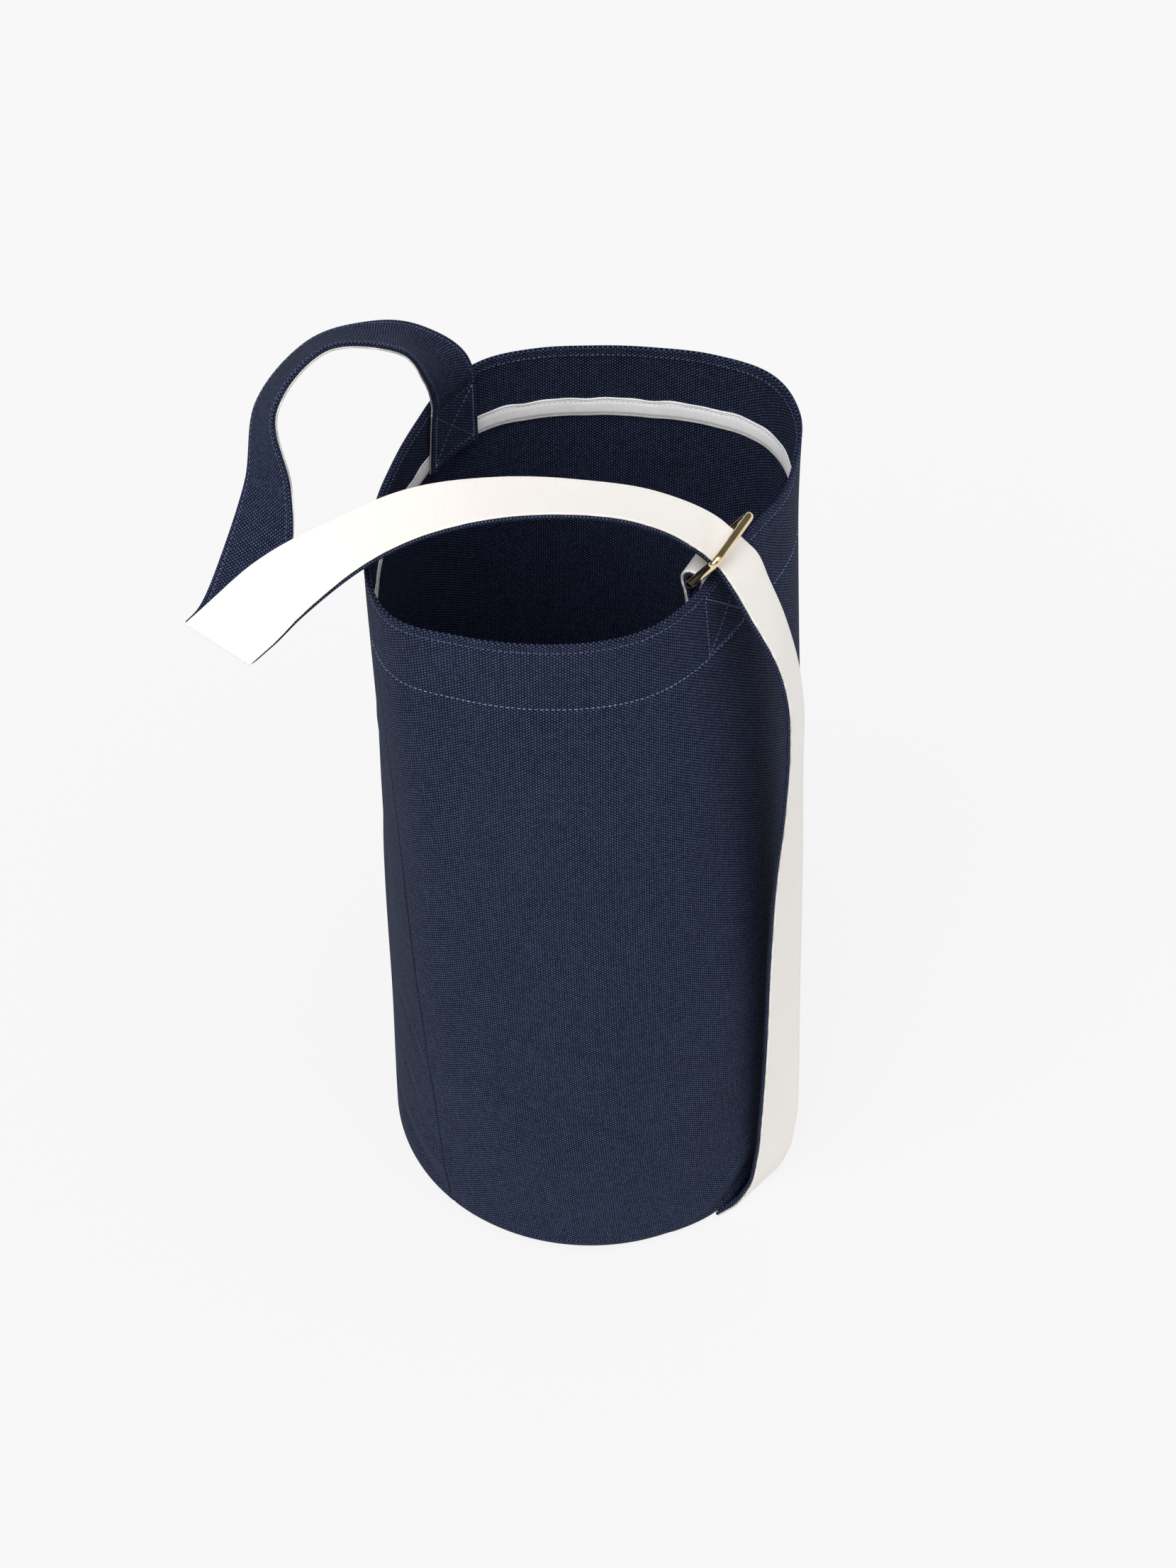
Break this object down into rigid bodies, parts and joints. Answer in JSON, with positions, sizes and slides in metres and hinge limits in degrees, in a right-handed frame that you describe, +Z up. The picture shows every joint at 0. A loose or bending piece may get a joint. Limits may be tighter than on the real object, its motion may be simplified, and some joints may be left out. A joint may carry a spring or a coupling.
{
  "type": "laundry bag",
  "caption": "Tall cylindrical canvas laundry bag with an open oval mouth, a metal ring on a tab and one long two-colour carrying strap.",
  "frame": {"origin": "on the floor at the centre of the round base", "axes": "+Z up along the bag, +X towards the ring, the two side seams near -Y and +Y"},
  "size_m": [0.2725, 0.3454, 0.5863],
  "materials": {
    "navy_canvas": "plain-weave cotton canvas",
    "cream_twill": "soft brushed cotton twill",
    "grey_tape": "ribbed cotton binding tape",
    "gold_ring": "polished pale gold plate"
  },
  "bodies": {
    "bag": {"front_panel": "navy_canvas", "back_panel": "navy_canvas", "base_panel": "navy_canvas", "front_facing": "navy_canvas", "back_facing": "navy_canvas", "front_facing_tape": "grey_tape", "back_facing_tape": "grey_tape", "left_seam_tape": "navy_canvas", "right_seam_tape": "navy_canvas", "base_seam_tape": "grey_tape", "strap_end_canvas": "navy_canvas", "strap_end_twill": "cream_twill", "strap_shoulder_canvas": "navy_canvas", "strap_shoulder_twill": "cream_twill", "strap_neck_canvas": "navy_canvas", "strap_neck_twill": "cream_twill", "strap_pass_canvas": "navy_canvas", "strap_pass_twill": "cream_twill", "strap_bend_canvas": "navy_canvas", "strap_bend_twill": "cream_twill", "strap_foot_canvas": "navy_canvas", "strap_foot_twill": "cream_twill", "tab_canvas": "navy_canvas", "tab_twill": "cream_twill"},
    "ring": {"ring": "gold_ring"},
    "strap_loop": {"strap_loop_canvas": "navy_canvas", "strap_loop_twill": "cream_twill"},
    "strap_drop": {"strap_drop_canvas": "navy_canvas", "strap_drop_twill": "cream_twill"}
  },
  "joints": [
    {"name": "ring_tilt", "type": "hinge", "parent": "bag", "child": "ring", "pos_m": [0.08, 0.0042, 0.498], "axis": [-0.3418, 0.9391, -0.0349], "range_deg": [-12, 14]},
    {"name": "loop_swing", "type": "hinge", "parent": "bag", "child": "strap_loop", "pos_m": [-0.00995, 0.00435, 0.50505], "axis": [-0.9985, -0.025, -0.0485], "range_deg": [-3, 80], "deforming": ["strap_shoulder_canvas", "strap_shoulder_twill", "strap_neck_canvas", "strap_neck_twill"]},
    {"name": "drop_swing", "type": "hinge", "parent": "bag", "child": "strap_drop", "pos_m": [0.0878, 0.0068, 0.5098], "axis": [0.0595, 0.0161, -0.9981], "range_deg": [-10, 10], "deforming": ["strap_bend_canvas", "strap_bend_twill", "strap_foot_canvas", "strap_foot_twill"]}
  ]
}
